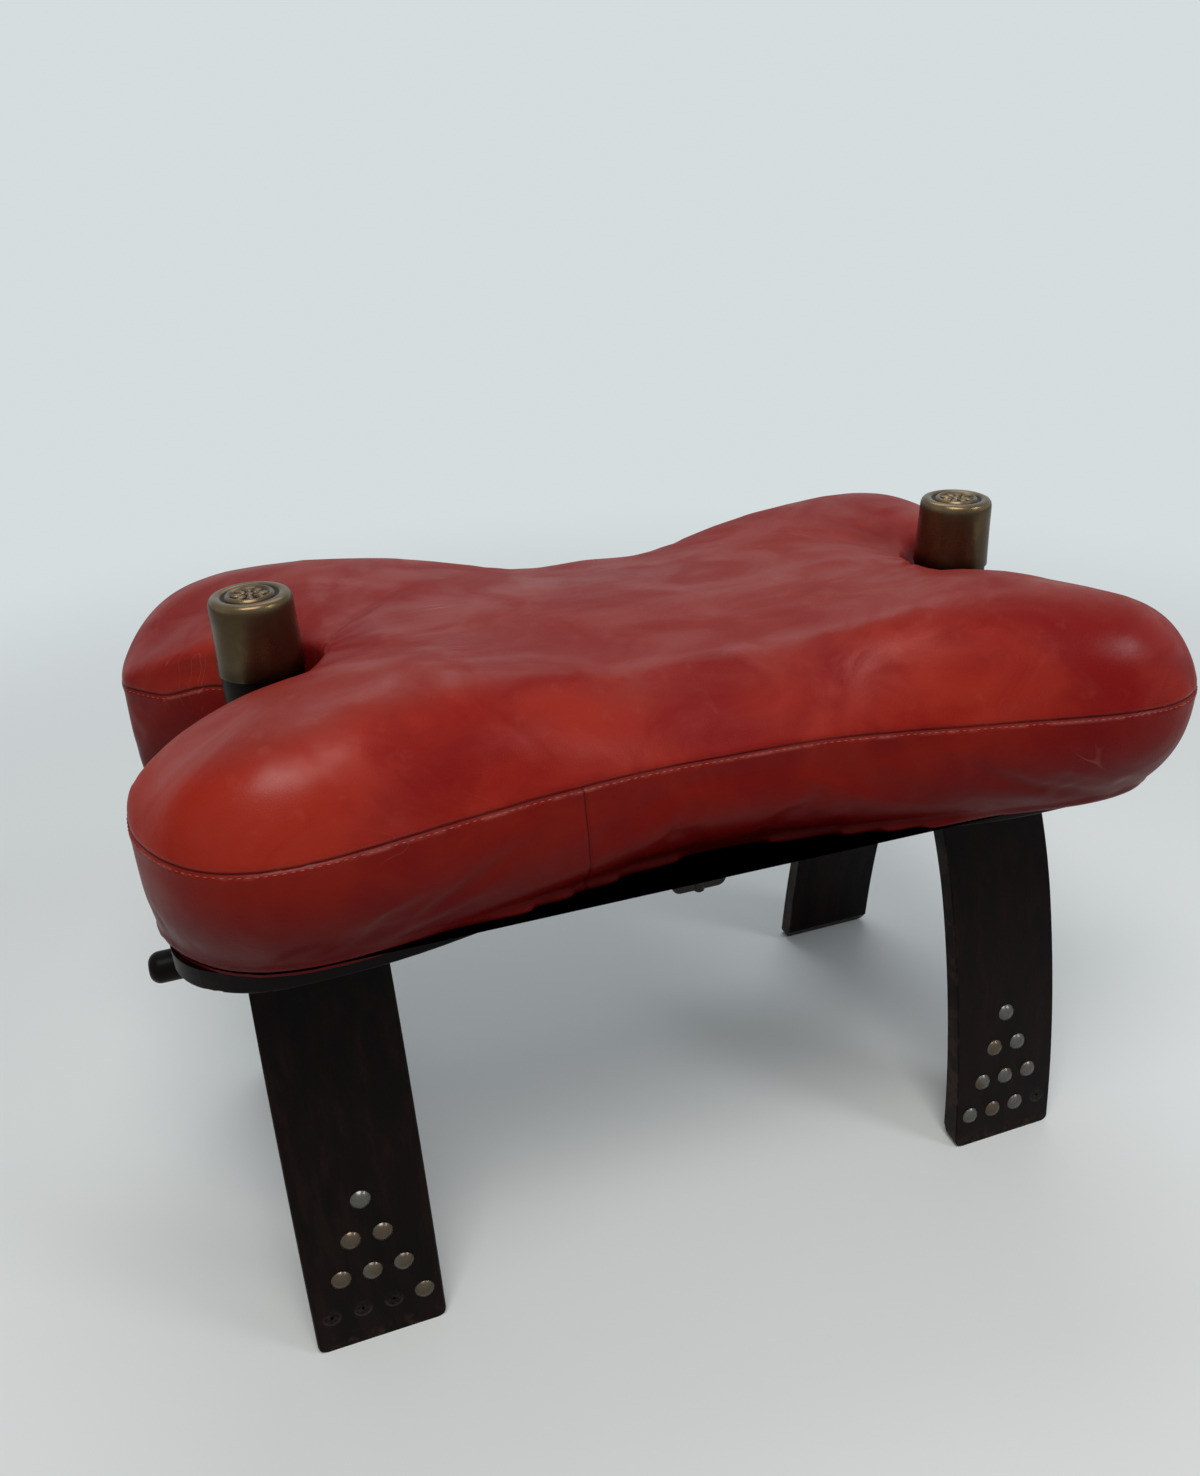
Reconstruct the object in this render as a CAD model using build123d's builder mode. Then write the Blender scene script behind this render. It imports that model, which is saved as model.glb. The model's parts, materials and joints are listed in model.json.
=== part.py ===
from math import asin, cos, radians, sin, tan
import os

from build123d import *

# Camel saddle stool: curved plank legs in pairs, a lobed seat board, two capped posts, two through
# rods and a leather cushion that two bolts and wing nuts hold to the board.
# Millimetres. +Z is up, +X runs along the stool, the origin is on the floor under the seat's middle.

os.makedirs("parts", exist_ok=True)

# Play and overruns that all pieces share
fit_gap = 0.05
soft_gap = 0.3
hole_end_gap = 0.5
cut_over = 5.0

# Legs: half spans of the outer face and thickness across it, at four heights
leg_centre_x = 257.0
leg_width = 90.0
leg_mid_z = 100.0
leg_knee_z = 200.0
leg_top_z = 310.0
foot_half_span = 155.5
mid_half_span = 141.7
knee_half_span = 118.0
top_half_span = 69.4
foot_thick = 18.0
mid_thick = 15.5
knee_thick = 15.0
top_thick = 21.0
foot_corner_r = 7.0
foot_bevel_h = 12.0
foot_bevel_d = 8.0
leg_edge_bevel = 1.0

# Head blocks between the tops of each pair of legs
block_length = 66.0
block_height = 52.0
block_edge_r = 1.5

# Through rods
rod_r = 10.5
rod_length = 722.0
rod_y = 50.0
rod_drop = 37.0
rod_tip_r = 7.0
rod_slim_r = 6.5
rod_slim_half = 188.0
rod_taper = 22.0

# Seat board: outline by its waist, lobes, corners and end notches
board_thick = 15.0
waist_half = 133.5
lobe_half = 152.6
waist_flat_x = 85.0
lobe_start_x = 255.0
lobe_end_x = 272.0
corner_x = 323.0
corner_y = 134.0
board_end_x = 338.5
board_end_y = 105.0
board_notch_half = 36.0
board_lip_r = 8.0
board_edge_r = 2.0

# Posts and their brass caps
post_x = 258.0
post_r = 26.1
tenon_r = 16.0
tenon_length = 35.0
cap_top_z = 500.0
cap_height = 50.0
cap_rim_r = 27.5
cap_top_r = 26.0
cap_wall = 1.2
cap_round_r = 5.0
cap_ring_r = 18.5
cap_ring_width = 2.4
cap_ring_depth = 0.7

# Dowels that hold the legs to the head blocks
dowel_r = 4.0
dowel_in_leg = 12.0
dowel_in_block = 24.0
dowel_drop = 13.0
dowel_half_pitch = 12.0

# Screws that hold the board to the head blocks
screw_r = 2.0
screw_head_r = 4.0
screw_length = 37.0
screw_half_pitch = 25.0
screw_y = 42.0

# Dome nails on the feet: rows from the top down, sideways places across the leg
nail_r = 7.0
nail_height = 3.4
nail_shank_r = 1.2
nail_length = 9.0
nail_top_z = 115.0
nail_row_step = 28.8
nail_rows = 4
nail_pitch = 21.5

# Cushion: outline at the seam and heights
cushion_half_length = 352.0
cushion_half_width = 198.0
cushion_height = 157.0
seam_height = 87.0
edge_inset = 38.0
band_bulge = 11.0
crease_half = 36.0
cushion_notch_r = 33.0
notch_flare = 24.0
notch_side_share = 0.54
notch_mouth_half = 88.0
leather_thick = 1.5
hem_width = 9.5

# Cushion base panel
base_thick = 9.0
base_inset = 7.0

# Bolts, washers and wing nuts
bolt_y = 112.0
bolt_r = 4.0
bolt_end_z = 282.5
bolt_tip = 1.0
bolt_head_r = 10.0
bolt_head_height = 4.4
board_hole_r = 4.6
washer_r = 8.4
washer_thick = 1.6
washer_bore_r = 4.2
nut_body_r = 8.2
nut_nose_r = 6.6
nut_body_height = 9.5
ear_thick = 4.2
ear_r = 6.6
ear_edge_r = 1.4
ear_root_r = 3.0
ear_x = 13.5
ear_drop = 18.3
ear_root_x = 5.2
ear_root_drop = 5.0

# Heights and places that follow
board_top_z = leg_top_z + board_thick
rod_z = leg_top_z - rod_drop
outer_spans = (foot_half_span, mid_half_span, knee_half_span, top_half_span)
leg_thicks = (foot_thick, mid_thick, knee_thick, top_thick)
inner_spans = tuple(span - thick for span, thick in zip(outer_spans, leg_thicks))
ends = (("left", -1), ("right", 1))
sides = (("front", -1), ("rear", 1))


def finish(builder, name):
    builder.part.label = name
    export_step(builder.part, f"parts/{name}.step")


# One face of a leg from the floor up, an easy arc to the knee and a tighter one above it
def leg_face(spans, side):
    foot, mid, knee, top = spans
    lower = ThreePointArc((side * foot, 0), (side * mid, leg_mid_z), (side * knee, leg_knee_z))
    return TangentArc(lower @ 1, (side * top, leg_top_z), tangent=lower % 1)


# Place on a leg's outer face at a height below the knee, looking outwards
def face_place(x, z, side):
    lower = ThreePointArc(
        (foot_half_span, 0), (mid_half_span, leg_mid_z), (knee_half_span, leg_knee_z), mode=Mode.PRIVATE
    )
    centre = lower.arc_center
    lean = asin((z - centre.Y) / lower.radius)
    y = centre.X + lower.radius * cos(lean)
    return Plane(origin=(x, side * y, z), x_dir=(1, 0, 0), z_dir=(0, side * cos(lean), sin(lean)))


# Places of a foot's nails, with those that the worn stool has lost left out on request
def nail_places(end, side, lost=()):
    places = []
    for row in range(nail_rows):
        for column in range(row + 1):
            if (row, column) not in lost:
                x = leg_centre_x * end + (column - row / 2) * nail_pitch
                places.append(face_place(x, nail_top_z - row * nail_row_step, side))
    return places


# Dowel places of one leg, looking outwards from the joint between leg and block
def dowel_places(end, side):
    z = leg_top_z - dowel_drop
    y = top_half_span - top_thick + dowel_drop * (inner_spans[2] - inner_spans[3]) / (leg_top_z - leg_knee_z)
    return [
        Plane(origin=(leg_centre_x * end + shift, side * y, z), x_dir=(1, 0, 0), z_dir=(0, side, 0))
        for shift in (-dowel_half_pitch, dowel_half_pitch)
    ]


# Holes for the dowels of one leg, in whichever piece is being built
def dowel_holes(end, side):
    for place in dowel_places(end, side):
        with BuildSketch(place) as bore:
            Circle(dowel_r + fit_gap)
        extrude(bore.sketch, amount=dowel_in_leg + hole_end_gap, mode=Mode.SUBTRACT)
        extrude(bore.sketch, amount=-dowel_in_block - hole_end_gap, mode=Mode.SUBTRACT)


# Legs
for end_name, end in ends:
    for side_name, side in sides:
        with BuildPart() as leg:
            with BuildSketch(Plane.YZ.offset(leg_centre_x * end)):
                with BuildLine():
                    outer = leg_face(outer_spans, side)
                    inner = leg_face(inner_spans, side)
                    Line(outer @ 1, inner @ 1)
                    Line((side * inner_spans[0], 0), (side * foot_half_span, 0))
                make_face()
                with BuildLine():
                    Polyline(
                        (side * (inner_spans[0] - cut_over), -cut_over),
                        (side * (inner_spans[0] + foot_bevel_d), 0),
                        (side * inner_spans[0], foot_bevel_h),
                        (side * (inner_spans[0] - cut_over), foot_bevel_h),
                        close=True,
                    )
                make_face(mode=Mode.SUBTRACT)
            extrude(amount=leg_width / 2, both=True)
            chamfer(edges().filter_by(GeomType.CIRCLE), leg_edge_bevel)
            with BuildSketch(Plane.XZ):
                with Locations((leg_centre_x * end, leg_top_z / 2)):
                    Rectangle(leg_width, leg_top_z)
                fillet(vertices().group_by(Axis.Y)[0], foot_corner_r)
            extrude(amount=foot_half_span, both=True, mode=Mode.INTERSECT)
            dowel_holes(end, side)
            for place in nail_places(end, side):
                with BuildSketch(place):
                    Circle(nail_shank_r + fit_gap)
                extrude(amount=-nail_length - hole_end_gap, mode=Mode.SUBTRACT)
        finish(leg, f"leg_{side_name}_{end_name}")

# Head blocks: they fill the space between the legs' inner faces
for end_name, end in ends:
    with BuildPart() as block:
        with BuildSketch(Plane.YZ.offset(leg_centre_x * end)):
            with BuildLine():
                front = leg_face(inner_spans, -1)
                rear = leg_face(inner_spans, 1)
                Line(front @ 1, rear @ 1)
                Line((-inner_spans[0], 0), (inner_spans[0], 0))
            make_face()
            with Locations((0, leg_top_z - block_height / 2)):
                Rectangle(foot_half_span * 2, block_height, mode=Mode.INTERSECT)
        extrude(amount=block_length / 2, both=True)
        lower_edges = edges().filter_by(Axis.Y).group_by(Axis.Z)[0]
        chamfer(lower_edges, block_edge_r)
        with BuildSketch(Plane.XY.offset(leg_top_z)):
            with Locations((post_x * end, 0)):
                Circle(tenon_r + fit_gap)
        extrude(amount=-tenon_length - hole_end_gap, mode=Mode.SUBTRACT)
        with BuildSketch(Plane.YZ.offset(leg_centre_x * end)):
            with Locations((-rod_y, rod_z), (rod_y, rod_z)):
                Circle(rod_r + fit_gap)
        extrude(amount=block_length, both=True, mode=Mode.SUBTRACT)
        for side_name, side in sides:
            dowel_holes(end, side)
        with BuildSketch(Plane.XY.offset(leg_top_z)):
            with Locations((leg_centre_x * end, 0)):
                with GridLocations(screw_half_pitch * 2, screw_y * 2, 2, 2):
                    Circle(screw_r + fit_gap)
        extrude(amount=board_thick - screw_length - hole_end_gap, mode=Mode.SUBTRACT)
    finish(block, f"head_block_{end_name}")

# Dowels
with BuildPart() as dowels:
    for end_name, end in ends:
        for side_name, side in sides:
            for place in dowel_places(end, side):
                with BuildSketch(place):
                    Circle(dowel_r)
                extrude(amount=dowel_in_leg)
                with BuildSketch(place):
                    Circle(dowel_r)
                extrude(amount=-dowel_in_block)
finish(dowels, "leg_dowels")

# Through rods, turned slimmer between the head blocks, with rounded tips
rod_half = rod_length / 2
for side_name, side in sides:
    with BuildPart() as rod:
        with BuildSketch(Plane.XZ.offset(-rod_y * side)):
            with BuildLine():
                Polyline(
                    (-rod_half, rod_z),
                    (-rod_half, rod_z + rod_r),
                    (-rod_slim_half - rod_taper, rod_z + rod_r),
                    (-rod_slim_half, rod_z + rod_slim_r),
                    (rod_slim_half, rod_z + rod_slim_r),
                    (rod_slim_half + rod_taper, rod_z + rod_r),
                    (rod_half, rod_z + rod_r),
                    (rod_half, rod_z),
                    close=True,
                )
            make_face()
        revolve(axis=Axis((0, rod_y * side, rod_z), (1, 0, 0)))
        rims = edges().filter_by(GeomType.CIRCLE).sort_by(Axis.X)
        fillet([rims[0], rims[-1]], rod_tip_r)
    finish(rod, f"rod_{side_name}")


# Lobed outline of the board, or of a panel that lies inside it by the inset
def lobed_outline(inset):
    waist = waist_half - inset
    lobe = lobe_half - inset
    notch = board_notch_half + inset
    end_x = board_end_x - inset
    turn_x = (waist_flat_x + lobe_start_x) / 2
    with BuildLine() as quarter:
        middle = Line((0, waist), (waist_flat_x, waist))
        hollow = TangentArc(middle @ 1, (turn_x, (waist + lobe) / 2), tangent=middle % 1)
        swell = TangentArc(hollow @ 1, (lobe_start_x, lobe), tangent=hollow % 1)
        crest = Line(swell @ 1, (lobe_end_x, lobe))
        shoulder = TangentArc(crest @ 1, (corner_x - inset, corner_y - inset), tangent=crest % 1)
        corner = TangentArc(shoulder @ 1, (end_x, board_end_y - inset), tangent=shoulder % 1)
        tip = Line(corner @ 1, (end_x, notch + board_lip_r))
        lip = TangentArc(tip @ 1, (end_x - board_lip_r, notch), tangent=tip % 1)
        slot = Line(lip @ 1, (post_x, notch))
        throat = TangentArc(slot @ 1, (post_x - notch, 0), tangent=slot % 1)
        Polyline(throat @ 1, (0, 0), (0, waist))
    make_face(quarter.edges())
    mirror(about=Plane.YZ)
    mirror(about=Plane.XZ)


# Seat board with holes for the bolts and countersunk holes for the screws
with BuildPart() as board:
    with BuildSketch(Plane.XY.offset(leg_top_z)):
        lobed_outline(0)
    extrude(amount=board_thick)
    fillet(faces().sort_by(Axis.Z)[0].outer_wire().edges(), board_edge_r)
    with BuildSketch(Plane.XY.offset(leg_top_z)):
        with Locations((0, -bolt_y), (0, bolt_y)):
            Circle(board_hole_r)
    extrude(amount=board_thick, mode=Mode.SUBTRACT)
    for end_name, end in ends:
        with Locations(Plane.XY.offset(board_top_z)):
            with Locations((leg_centre_x * end, 0)):
                with GridLocations(screw_half_pitch * 2, screw_y * 2, 2, 2):
                    CounterSinkHole(screw_r + fit_gap, screw_head_r + fit_gap, counter_sink_angle=90)
finish(board, "seat_board")

# One screw, countersunk, with its head's top at the origin
with BuildPart() as screw:
    with BuildSketch(Plane.XZ):
        with BuildLine():
            Polyline(
                (0, 0),
                (screw_head_r, 0),
                (screw_r, screw_r - screw_head_r),
                (screw_r, screw_r - screw_length),
                (0, -screw_length),
                close=True,
            )
        make_face()
    revolve(axis=Axis.Z)

with BuildPart() as screws:
    for end_name, end in ends:
        with Locations(Plane.XY.offset(board_top_z)):
            with Locations((leg_centre_x * end, 0)):
                with GridLocations(screw_half_pitch * 2, screw_y * 2, 2, 2):
                    add(screw.part)
finish(screws, "board_screws")

# Posts, turned to a taper where the caps go on
cap_rim_z = cap_top_z - cap_height
post_top_z = cap_top_z - cap_wall
cap_slope = (cap_rim_r - cap_top_r) / cap_height
for end_name, end in ends:
    with BuildPart() as post:
        with BuildSketch(Plane.XZ):
            with BuildLine():
                neck_r = cap_rim_r - cap_wall - fit_gap
                head_r = cap_top_r - cap_wall - fit_gap
                Polyline(
                    (post_x * end, leg_top_z - tenon_length),
                    (post_x * end + tenon_r, leg_top_z - tenon_length),
                    (post_x * end + tenon_r, leg_top_z),
                    (post_x * end + post_r, leg_top_z),
                    (post_x * end + post_r, cap_rim_z),
                    (post_x * end + neck_r, cap_rim_z),
                    (post_x * end + head_r + cap_round_r * cap_slope, post_top_z - cap_round_r),
                    (post_x * end + head_r - cap_round_r, post_top_z),
                    (post_x * end, post_top_z),
                    close=True,
                )
            make_face()
        revolve(axis=Axis((post_x * end, 0, 0), (0, 0, 1)))
    finish(post, f"post_{end_name}")

# Brass caps: a drawn cup with a ring pressed round a raised boss
for end_name, end in ends:
    with BuildPart() as cap:
        with BuildSketch(Plane.XZ):
            with BuildLine():
                x = post_x * end
                ring_z = cap_top_z - cap_ring_depth
                Polyline(
                    (x, post_top_z),
                    (x, cap_top_z),
                    (x + cap_ring_r - cap_ring_width, cap_top_z),
                    (x + cap_ring_r - cap_ring_width, ring_z),
                    (x + cap_ring_r, ring_z),
                    (x + cap_ring_r, cap_top_z),
                    (x + cap_top_r - cap_round_r, cap_top_z),
                )
                skirt_top = cap_top_r + cap_round_r * cap_slope
                RadiusArc(
                    (x + cap_top_r - cap_round_r, cap_top_z), (x + skirt_top, cap_top_z - cap_round_r), cap_round_r
                )
                Polyline(
                    (x + skirt_top, cap_top_z - cap_round_r),
                    (x + cap_rim_r, cap_rim_z),
                    (x + cap_rim_r - cap_wall, cap_rim_z),
                    (x + skirt_top - cap_wall, cap_top_z - cap_round_r),
                )
                RadiusArc(
                    (x + skirt_top - cap_wall, cap_top_z - cap_round_r),
                    (x + cap_top_r - cap_round_r, post_top_z),
                    cap_wall - cap_round_r,
                )
                Line((x + cap_top_r - cap_round_r, post_top_z), (x, post_top_z))
            make_face()
        revolve(axis=Axis((post_x * end, 0, 0), (0, 0, 1)))
    finish(cap, f"cap_{end_name}")

# One dome nail standing on the origin
with BuildPart() as nail:
    with BuildSketch(Plane.XZ):
        with BuildLine():
            Polyline((0, nail_height), (0, -nail_length), (nail_shank_r, -nail_length), (nail_shank_r, 0), (nail_r, 0))
            TangentArc((0, nail_height), (nail_r, 0), tangent=(1, 0))
        make_face()
    revolve(axis=Axis.Z)

# Nails on each foot, without those that the worn front feet have lost, by row and column
lost_nails = {("front", "left"): ((3, 0), (3, 1), (3, 2)), ("front", "right"): ((3, 3),)}
for end_name, end in ends:
    for side_name, side in sides:
        with BuildPart() as nails:
            for place in nail_places(end, side, lost_nails.get((side_name, end_name), ())):
                with Locations(place):
                    add(nail.part)
        finish(nails, f"nails_{side_name}_{end_name}")

# Cushion heights
cushion_bottom_z = board_top_z + soft_gap
seam_z = cushion_bottom_z + seam_height
crown_rise = cushion_height - seam_height

# Shares along the half length of: place, width, crest and crease heights over the seam, edge inset
section_shares = (
    (0.0, 0.843, 0.60, 0.69, 1.0),
    (0.25, 0.862, 0.67, 0.71, 0.87),
    (0.50, 0.915, 0.89, 0.74, 0.65),
    (0.72, 0.980, 0.98, 0.74, 0.68),
    (0.87, 0.955, 0.88, 0.62, 0.79),
    (0.96, 0.815, 0.58, 0.34, 0.82),
    (1.0, 0.64, 0.27, 0.12, 0.85),
)


# Shapes of the two end notches of the cushion, grown on each side, from throat to mouth
def notch_shapes(grow):
    radius = cushion_notch_r + grow
    flare = radians(notch_flare)
    turn_x = post_x - radius * sin(flare)
    turn_y = radius * cos(flare)
    side_x = turn_x + (cushion_half_length - turn_x) * notch_side_share
    mouth_half = notch_mouth_half + grow
    outside = cushion_half_length + cut_over
    with BuildSketch() as shapes:
        with BuildLine():
            throat = TangentArc((post_x - radius, 0), (turn_x, turn_y), tangent=(0, 1))
            flank = Line(throat @ 1, (side_x, turn_y + (side_x - turn_x) * tan(flare)))
            mouth = TangentArc(flank @ 1, (cushion_half_length, mouth_half), tangent=flank % 1)
            Polyline(mouth @ 1, (outside, mouth_half), (outside, 0), (post_x - radius, 0))
        make_face()
        mirror(about=Plane.XZ)
        mirror(about=Plane.YZ)
    return shapes.sketch


# Outline of a panel inside the cushion by the inset
def panel_outline(inset):
    lobed_outline(inset)
    add(notch_shapes(inset), mode=Mode.SUBTRACT)


# Solid of the cushion's form, inside the outer one by the inset
def cushion_form(inset):
    bottom = cushion_bottom_z + inset
    length = cushion_half_length - inset
    far = [(-shares[0], *shares[1:]) for shares in reversed(section_shares[1:])]
    with BuildPart() as form:
        for place, width, crest_share, crease_share, inset_share in far + list(section_shares):
            half = cushion_half_width * width - inset
            low_half = half - edge_inset * inset_share
            crest_y = (half + crease_half) / 2
            crest_z = seam_z + crown_rise * crest_share - inset
            crease_z = seam_z + crown_rise * crease_share - inset
            with BuildSketch(Plane.YZ.offset(length * place)):
                with BuildLine():
                    Line((-low_half, bottom), (low_half, bottom))
                    Line((-crease_half, crease_z), (crease_half, crease_z))
                    for side in (-1, 1):
                        SagittaArc((side * low_half, bottom), (side * half, seam_z), side * -band_bulge)
                        crest = (side * crest_y, crest_z)
                        TangentArc(crest, (side * half, seam_z), tangent=(side, 0))
                        TangentArc(crest, (side * crease_half, crease_z), tangent=(-side, 0))
                make_face()
        loft()
        with BuildSketch(Plane.XY.offset(leg_top_z)):
            add(notch_shapes(inset))
        extrude(amount=cushion_height * 2, mode=Mode.SUBTRACT)
    return form.part


outer_form = cushion_form(0)
inner_form = cushion_form(leather_thick)
base_bottom_z = cushion_bottom_z + leather_thick
base_top_z = base_bottom_z + base_thick

# Plywood panel under the cushion
with BuildPart() as base:
    with BuildSketch(Plane.XY.offset(base_bottom_z)):
        panel_outline(base_inset)
        with Locations((0, -bolt_y), (0, bolt_y)):
            Circle(bolt_r + fit_gap, mode=Mode.SUBTRACT)
    extrude(amount=base_thick)
finish(base, "cushion_base")

# Filling, recessed for the panel and the bolt heads
with BuildPart() as filling:
    add(inner_form)
    with BuildSketch(Plane.XY.offset(base_bottom_z)):
        panel_outline(base_inset - soft_gap)
    extrude(amount=base_thick, mode=Mode.SUBTRACT)
    with BuildSketch(Plane.XY.offset(base_top_z)):
        with Locations((0, -bolt_y), (0, bolt_y)):
            Circle(bolt_head_r + soft_gap)
    extrude(amount=bolt_head_height + soft_gap, mode=Mode.SUBTRACT)
finish(filling, "cushion_filling")

# Leather cover: a top panel and a side band that meet at the seam, with a hem turned under the panel
leather_parts = (("cushion_top_leather", Keep.TOP), ("cushion_band_leather", Keep.BOTTOM))
for leather_name, kept in leather_parts:
    with BuildPart() as leather:
        add(outer_form)
        add(inner_form, mode=Mode.SUBTRACT)
        with BuildSketch(Plane.XY.offset(leg_top_z)):
            panel_outline(base_inset + hem_width)
        extrude(amount=base_bottom_z + fit_gap - leg_top_z, mode=Mode.SUBTRACT)
        split(bisect_by=Plane.XY.offset(seam_z), keep=kept)
    finish(leather, leather_name)

# Bolts through panel and board, washers and wing nuts under the board
nut_top_z = leg_top_z - washer_thick
for side_name, side in sides:
    y = bolt_y * side
    bolt_axis = Axis((0, y, 0), (0, 0, 1))
    with BuildPart() as bolt:
        with BuildSketch(Plane.XZ.offset(-y)):
            with BuildLine():
                Polyline(
                    (0, base_top_z + bolt_head_height),
                    (0, bolt_end_z),
                    (bolt_r - bolt_tip, bolt_end_z),
                    (bolt_r, bolt_end_z + bolt_tip),
                    (bolt_r, base_top_z),
                    (bolt_head_r, base_top_z),
                )
                TangentArc((0, base_top_z + bolt_head_height), (bolt_head_r, base_top_z), tangent=(1, 0))
            make_face()
        revolve(axis=bolt_axis)
    finish(bolt, f"bolt_{side_name}")

    with BuildPart() as washer:
        with BuildSketch(Plane.XY.offset(nut_top_z)):
            with Locations((0, y)):
                Circle(washer_r)
                Circle(washer_bore_r, mode=Mode.SUBTRACT)
        extrude(amount=washer_thick)
    finish(washer, f"washer_{side_name}")

    with BuildPart() as nut:
        with BuildSketch(Plane.XZ.offset(-y)):
            with BuildLine():
                Polyline(
                    (0, nut_top_z),
                    (nut_body_r, nut_top_z),
                    (nut_nose_r, nut_top_z - nut_body_height),
                    (0, nut_top_z - nut_body_height),
                    close=True,
                )
            make_face()
        revolve(axis=bolt_axis)
        with BuildSketch(Plane.XZ.offset(-y)):
            for ear in (-1, 1):
                with BuildLine():
                    CenterArc((ear * ear_root_x, nut_top_z - ear_root_drop), ear_root_r, 0, 360)
                    CenterArc((ear * ear_x, nut_top_z - ear_drop), ear_r, 0, 360)
                make_hull()
        extrude(amount=ear_thick / 2, both=True)
        ear_tips = edges().filter_by(GeomType.CIRCLE).filter_by_position(
            Axis.Z, nut_top_z - ear_drop - ear_r, nut_top_z - ear_drop + ear_edge_r
        )
        fillet(ear_tips, ear_edge_r)
        with BuildSketch(Plane.XY.offset(nut_top_z)):
            with Locations((0, y)):
                Circle(bolt_r + fit_gap)
        extrude(amount=-ear_drop - ear_r, mode=Mode.SUBTRACT)
    finish(nut, f"wing_nut_{side_name}")
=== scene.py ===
import json
import math

import bpy
import numpy as np
from mathutils import Matrix, Vector, noise
from mathutils.bvhtree import BVHTree

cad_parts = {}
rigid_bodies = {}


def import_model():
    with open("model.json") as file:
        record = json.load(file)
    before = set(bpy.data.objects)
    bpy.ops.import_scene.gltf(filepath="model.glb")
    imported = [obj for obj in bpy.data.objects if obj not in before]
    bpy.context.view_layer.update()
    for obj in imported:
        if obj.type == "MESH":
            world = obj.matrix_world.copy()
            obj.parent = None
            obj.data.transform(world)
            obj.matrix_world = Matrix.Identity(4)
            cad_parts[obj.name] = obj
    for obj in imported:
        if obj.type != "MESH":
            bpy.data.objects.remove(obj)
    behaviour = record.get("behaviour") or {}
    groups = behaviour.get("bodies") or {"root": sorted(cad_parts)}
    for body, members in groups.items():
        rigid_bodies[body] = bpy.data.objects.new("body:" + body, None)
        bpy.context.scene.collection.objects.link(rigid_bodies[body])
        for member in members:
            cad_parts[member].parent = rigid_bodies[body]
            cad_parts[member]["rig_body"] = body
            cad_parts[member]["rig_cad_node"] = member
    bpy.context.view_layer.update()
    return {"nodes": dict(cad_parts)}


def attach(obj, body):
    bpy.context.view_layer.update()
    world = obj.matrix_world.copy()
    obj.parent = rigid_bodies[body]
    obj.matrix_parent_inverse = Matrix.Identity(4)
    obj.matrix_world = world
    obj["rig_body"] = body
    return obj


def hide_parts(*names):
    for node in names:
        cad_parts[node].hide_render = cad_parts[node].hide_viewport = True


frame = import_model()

nodes = frame["nodes"]
bpy.ops.object.select_all(action="DESELECT")
print("stool frame loaded,", len(nodes), "nodes")


class Wire:  # a shader socket that takes part in plain arithmetic
    def __init__(self, tree, out=None):
        self.tree = tree
        self.out = out

    def node(self, kind, settings, values, output=0):
        made = self.tree.nodes.new(kind)
        for name, value in settings.items():
            setattr(made, name, value)
        for key, value in values.items():
            if isinstance(value, Wire):
                self.tree.links.new(value.out, made.inputs[key])
            else:
                made.inputs[key].default_value = value
        return Wire(self.tree, made.outputs[output])

    def calc(self, operation, first, second=0.0):
        return self.node("ShaderNodeMath", {"operation": operation}, {0: first, 1: second})

    def __add__(self, other):
        return self.calc("ADD", self, other)

    def __sub__(self, other):
        return self.calc("SUBTRACT", self, other)

    def __mul__(self, other):
        return self.calc("MULTIPLY", self, other)

    def __truediv__(self, other):
        return self.calc("DIVIDE", self, other)

    def __rsub__(self, other):
        return self.calc("SUBTRACT", other, self)

    def __abs__(self):
        return self.calc("ABSOLUTE", self)

    __radd__ = __add__
    __rmul__ = __mul__


def place(root):  # object coordinates of the piece
    return root.node("ShaderNodeTexCoord", {}, {}, "Object")


def axes(vector):
    return [vector.node("ShaderNodeSeparateXYZ", {}, {0: vector}, i) for i in range(3)]


def stretched(vector, scale, shift=(0, 0, 0)):
    return vector.node("ShaderNodeMapping", {}, {"Vector": vector, "Scale": scale, "Location": shift})


def cloud(vector, scale, detail=3.0, rough=0.5, twist=0.0):
    values = {"Vector": vector, "Scale": scale, "Detail": detail, "Roughness": rough, "Distortion": twist}
    return vector.node("ShaderNodeTexNoise", {}, values)


def step(value, low, high, bottom=0.0, top=1.0):
    values = {"Value": value, "From Min": low, "From Max": high, "To Min": bottom, "To Max": top}
    return value.node("ShaderNodeMapRange", {"interpolation_type": "SMOOTHSTEP"}, values)


def attribute(root, name):
    return root.node("ShaderNodeAttribute", {"attribute_name": name}, {}, "Fac")


def blendColour(share, first, second):
    return share.node("ShaderNodeMix", {"data_type": "RGBA"}, {0: share, 6: first, 7: second}, 2)


def rgb(red, green, blue):
    return (red, green, blue, 1.0)


def newMaterial(name, fixed):  # fixed: numbers that are the same all over the surface
    material = bpy.data.materials.new(name)
    material.use_nodes = True
    tree = material.node_tree
    shader = tree.nodes["Principled BSDF"]
    for key, value in fixed.items():
        shader.inputs[key].default_value = value
    return material, Wire(tree), shader


def feed(shader, root, **links):
    for key, value in links.items():
        root.tree.links.new(value.out, shader.inputs[key.replace("_", " ")])


def bump(height, strength, distance):
    values = {"Height": height, "Strength": strength, "Distance": distance}
    return height.node("ShaderNodeBump", {}, values, "Normal")


leatherLook = {
    "deep": rgb(0.190, 0.0040, 0.0034),
    "warm": rgb(0.300, 0.0160, 0.0055),
    "wearAndSheen": rgb(0.170, 0.0240, 0.0200),
    "bandShade": rgb(0.078, 0.0012, 0.0015),
    "seamShade": rgb(0.035, 0.002, 0.002),
    "scuff": rgb(0.52, 0.20, 0.16),
    "grainSize": 620.0,
    "roughness": 0.40,
}


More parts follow.
